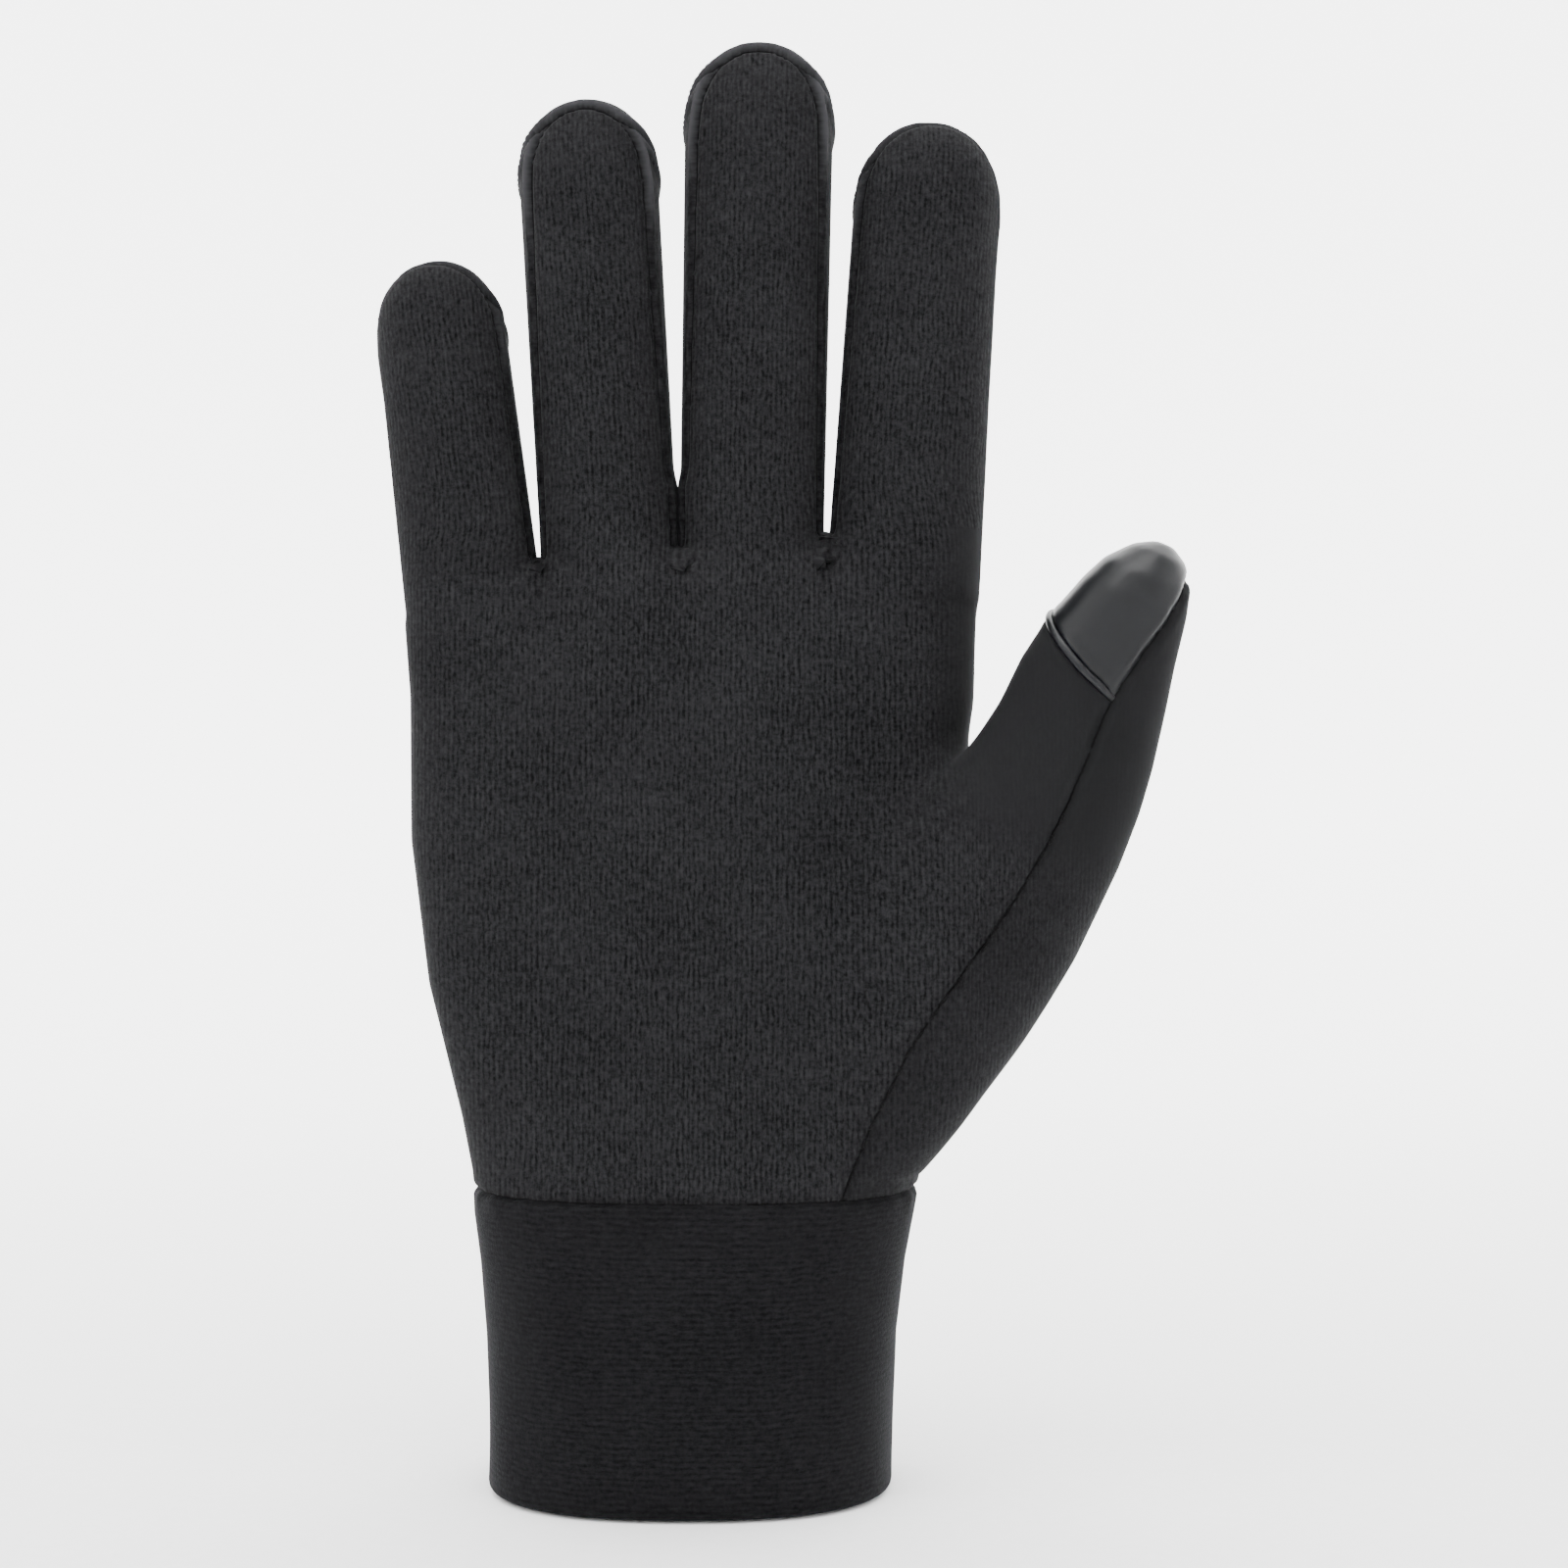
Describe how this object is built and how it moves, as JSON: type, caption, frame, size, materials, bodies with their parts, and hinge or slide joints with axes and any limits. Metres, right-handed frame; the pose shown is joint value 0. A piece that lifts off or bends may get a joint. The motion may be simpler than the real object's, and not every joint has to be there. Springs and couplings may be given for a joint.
{
  "type": "touchscreen glove",
  "caption": "Right-hand stretch-knit glove in its worn shape, with finger stalls and a thumb that bend, fourchettes between the fingers, a folded cuff and a coated touch patch on the thumb tip.",
  "frame": {"origin": "centre of the wrist opening, on the plane of the cuff's hem", "axes": "+Z from the hem to the fingertips, -Y out of the palm, +X towards the thumb"},
  "size_m": [0.1346, 0.0526, 0.2422],
  "materials": {
    "palm_knit": "brushed matt",
    "back_knit": "smooth matt",
    "cuff_knit": "brushed matt",
    "coated_patch": "satin coating",
    "sewing_thread": "spun"
  },
  "bodies": {
    "hand": {"palm_panel": "palm_knit", "back_panel": "back_knit", "cuff": "cuff_knit", "cuff_seam_overlock": "sewing_thread", "little_ring_fourchette": "palm_knit", "ring_middle_fourchette": "palm_knit", "middle_index_fourchette": "palm_knit", "thumb_seam_stitches": "sewing_thread"},
    "little_base": {"little_base_back_face": "back_knit", "little_base_outer_fourchette": "palm_knit", "little_base_palm_face": "palm_knit"},
    "little_tip": {"little_tip_back_face": "back_knit", "little_tip_outer_fourchette": "palm_knit", "little_tip_palm_face": "palm_knit"},
    "ring_base": {"ring_base_back_face": "back_knit", "ring_base_inner_fourchette": "palm_knit", "ring_base_outer_fourchette": "palm_knit", "ring_base_palm_face": "palm_knit"},
    "ring_tip": {"ring_tip_back_face": "back_knit", "ring_tip_inner_fourchette": "palm_knit", "ring_tip_outer_fourchette": "palm_knit", "ring_tip_palm_face": "palm_knit"},
    "middle_base": {"middle_base_back_face": "back_knit", "middle_base_inner_fourchette": "palm_knit", "middle_base_outer_fourchette": "palm_knit", "middle_base_palm_face": "palm_knit"},
    "middle_tip": {"middle_tip_back_face": "back_knit", "middle_tip_inner_fourchette": "palm_knit", "middle_tip_outer_fourchette": "palm_knit", "middle_tip_palm_face": "palm_knit"},
    "index_base": {"index_base_back_face": "back_knit", "index_base_inner_fourchette": "palm_knit", "index_base_palm_face": "palm_knit"},
    "index_tip": {"index_tip_back_face": "back_knit", "index_tip_inner_fourchette": "palm_knit", "index_tip_palm_face": "palm_knit"},
    "thumb": {"thumb_back_face": "back_knit", "thumb_palm_face": "palm_knit", "thumb_patch_welt": "coated_patch", "thumb_touch_patch": "coated_patch"}
  },
  "joints": [
    {"name": "little_knuckle", "type": "hinge", "parent": "hand", "child": "little_base", "pos_m": [-0.03848, -0.0025, 0.164], "axis": [0.9928, 0, 0.1201], "range_deg": [0, 60]},
    {"name": "little_middle_joint", "type": "hinge", "parent": "little_base", "child": "little_tip", "pos_m": [-0.0409, -0.0025, 0.184], "axis": [0.9928, 0, 0.1201], "range_deg": [0, 60]},
    {"name": "ring_knuckle", "type": "hinge", "parent": "hand", "child": "ring_base", "pos_m": [-0.01435, -0.0025, 0.168], "axis": [0.9984, 0, 0.0558], "range_deg": [0, 60]},
    {"name": "ring_middle_joint", "type": "hinge", "parent": "ring_base", "child": "ring_tip", "pos_m": [-0.01611, -0.0025, 0.1995], "axis": [0.9984, 0, 0.0558], "range_deg": [0, 60]},
    {"name": "middle_knuckle", "type": "hinge", "parent": "hand", "child": "middle_base", "pos_m": [0.01046, -0.0025, 0.169], "axis": [0.9998, 0, -0.0175], "range_deg": [0, 60]},
    {"name": "middle_middle_joint", "type": "hinge", "parent": "middle_base", "child": "middle_tip", "pos_m": [0.01108, -0.0025, 0.2045], "axis": [0.9998, 0, -0.0175], "range_deg": [0, 60]},
    {"name": "index_knuckle", "type": "hinge", "parent": "hand", "child": "index_base", "pos_m": [0.03683, -0.0025, 0.1685], "axis": [0.998, 0, -0.0628], "range_deg": [0, 60]},
    {"name": "index_middle_joint", "type": "hinge", "parent": "index_base", "child": "index_tip", "pos_m": [0.03872, -0.0025, 0.1985], "axis": [0.998, 0, -0.0628], "range_deg": [0, 60]},
    {"name": "thumb_joint", "type": "hinge", "parent": "hand", "child": "thumb", "pos_m": [0.06107, -0.01678, 0.12599], "axis": [0.7212, -0.5634, -0.4031], "range_deg": [0, 45]}
  ]
}
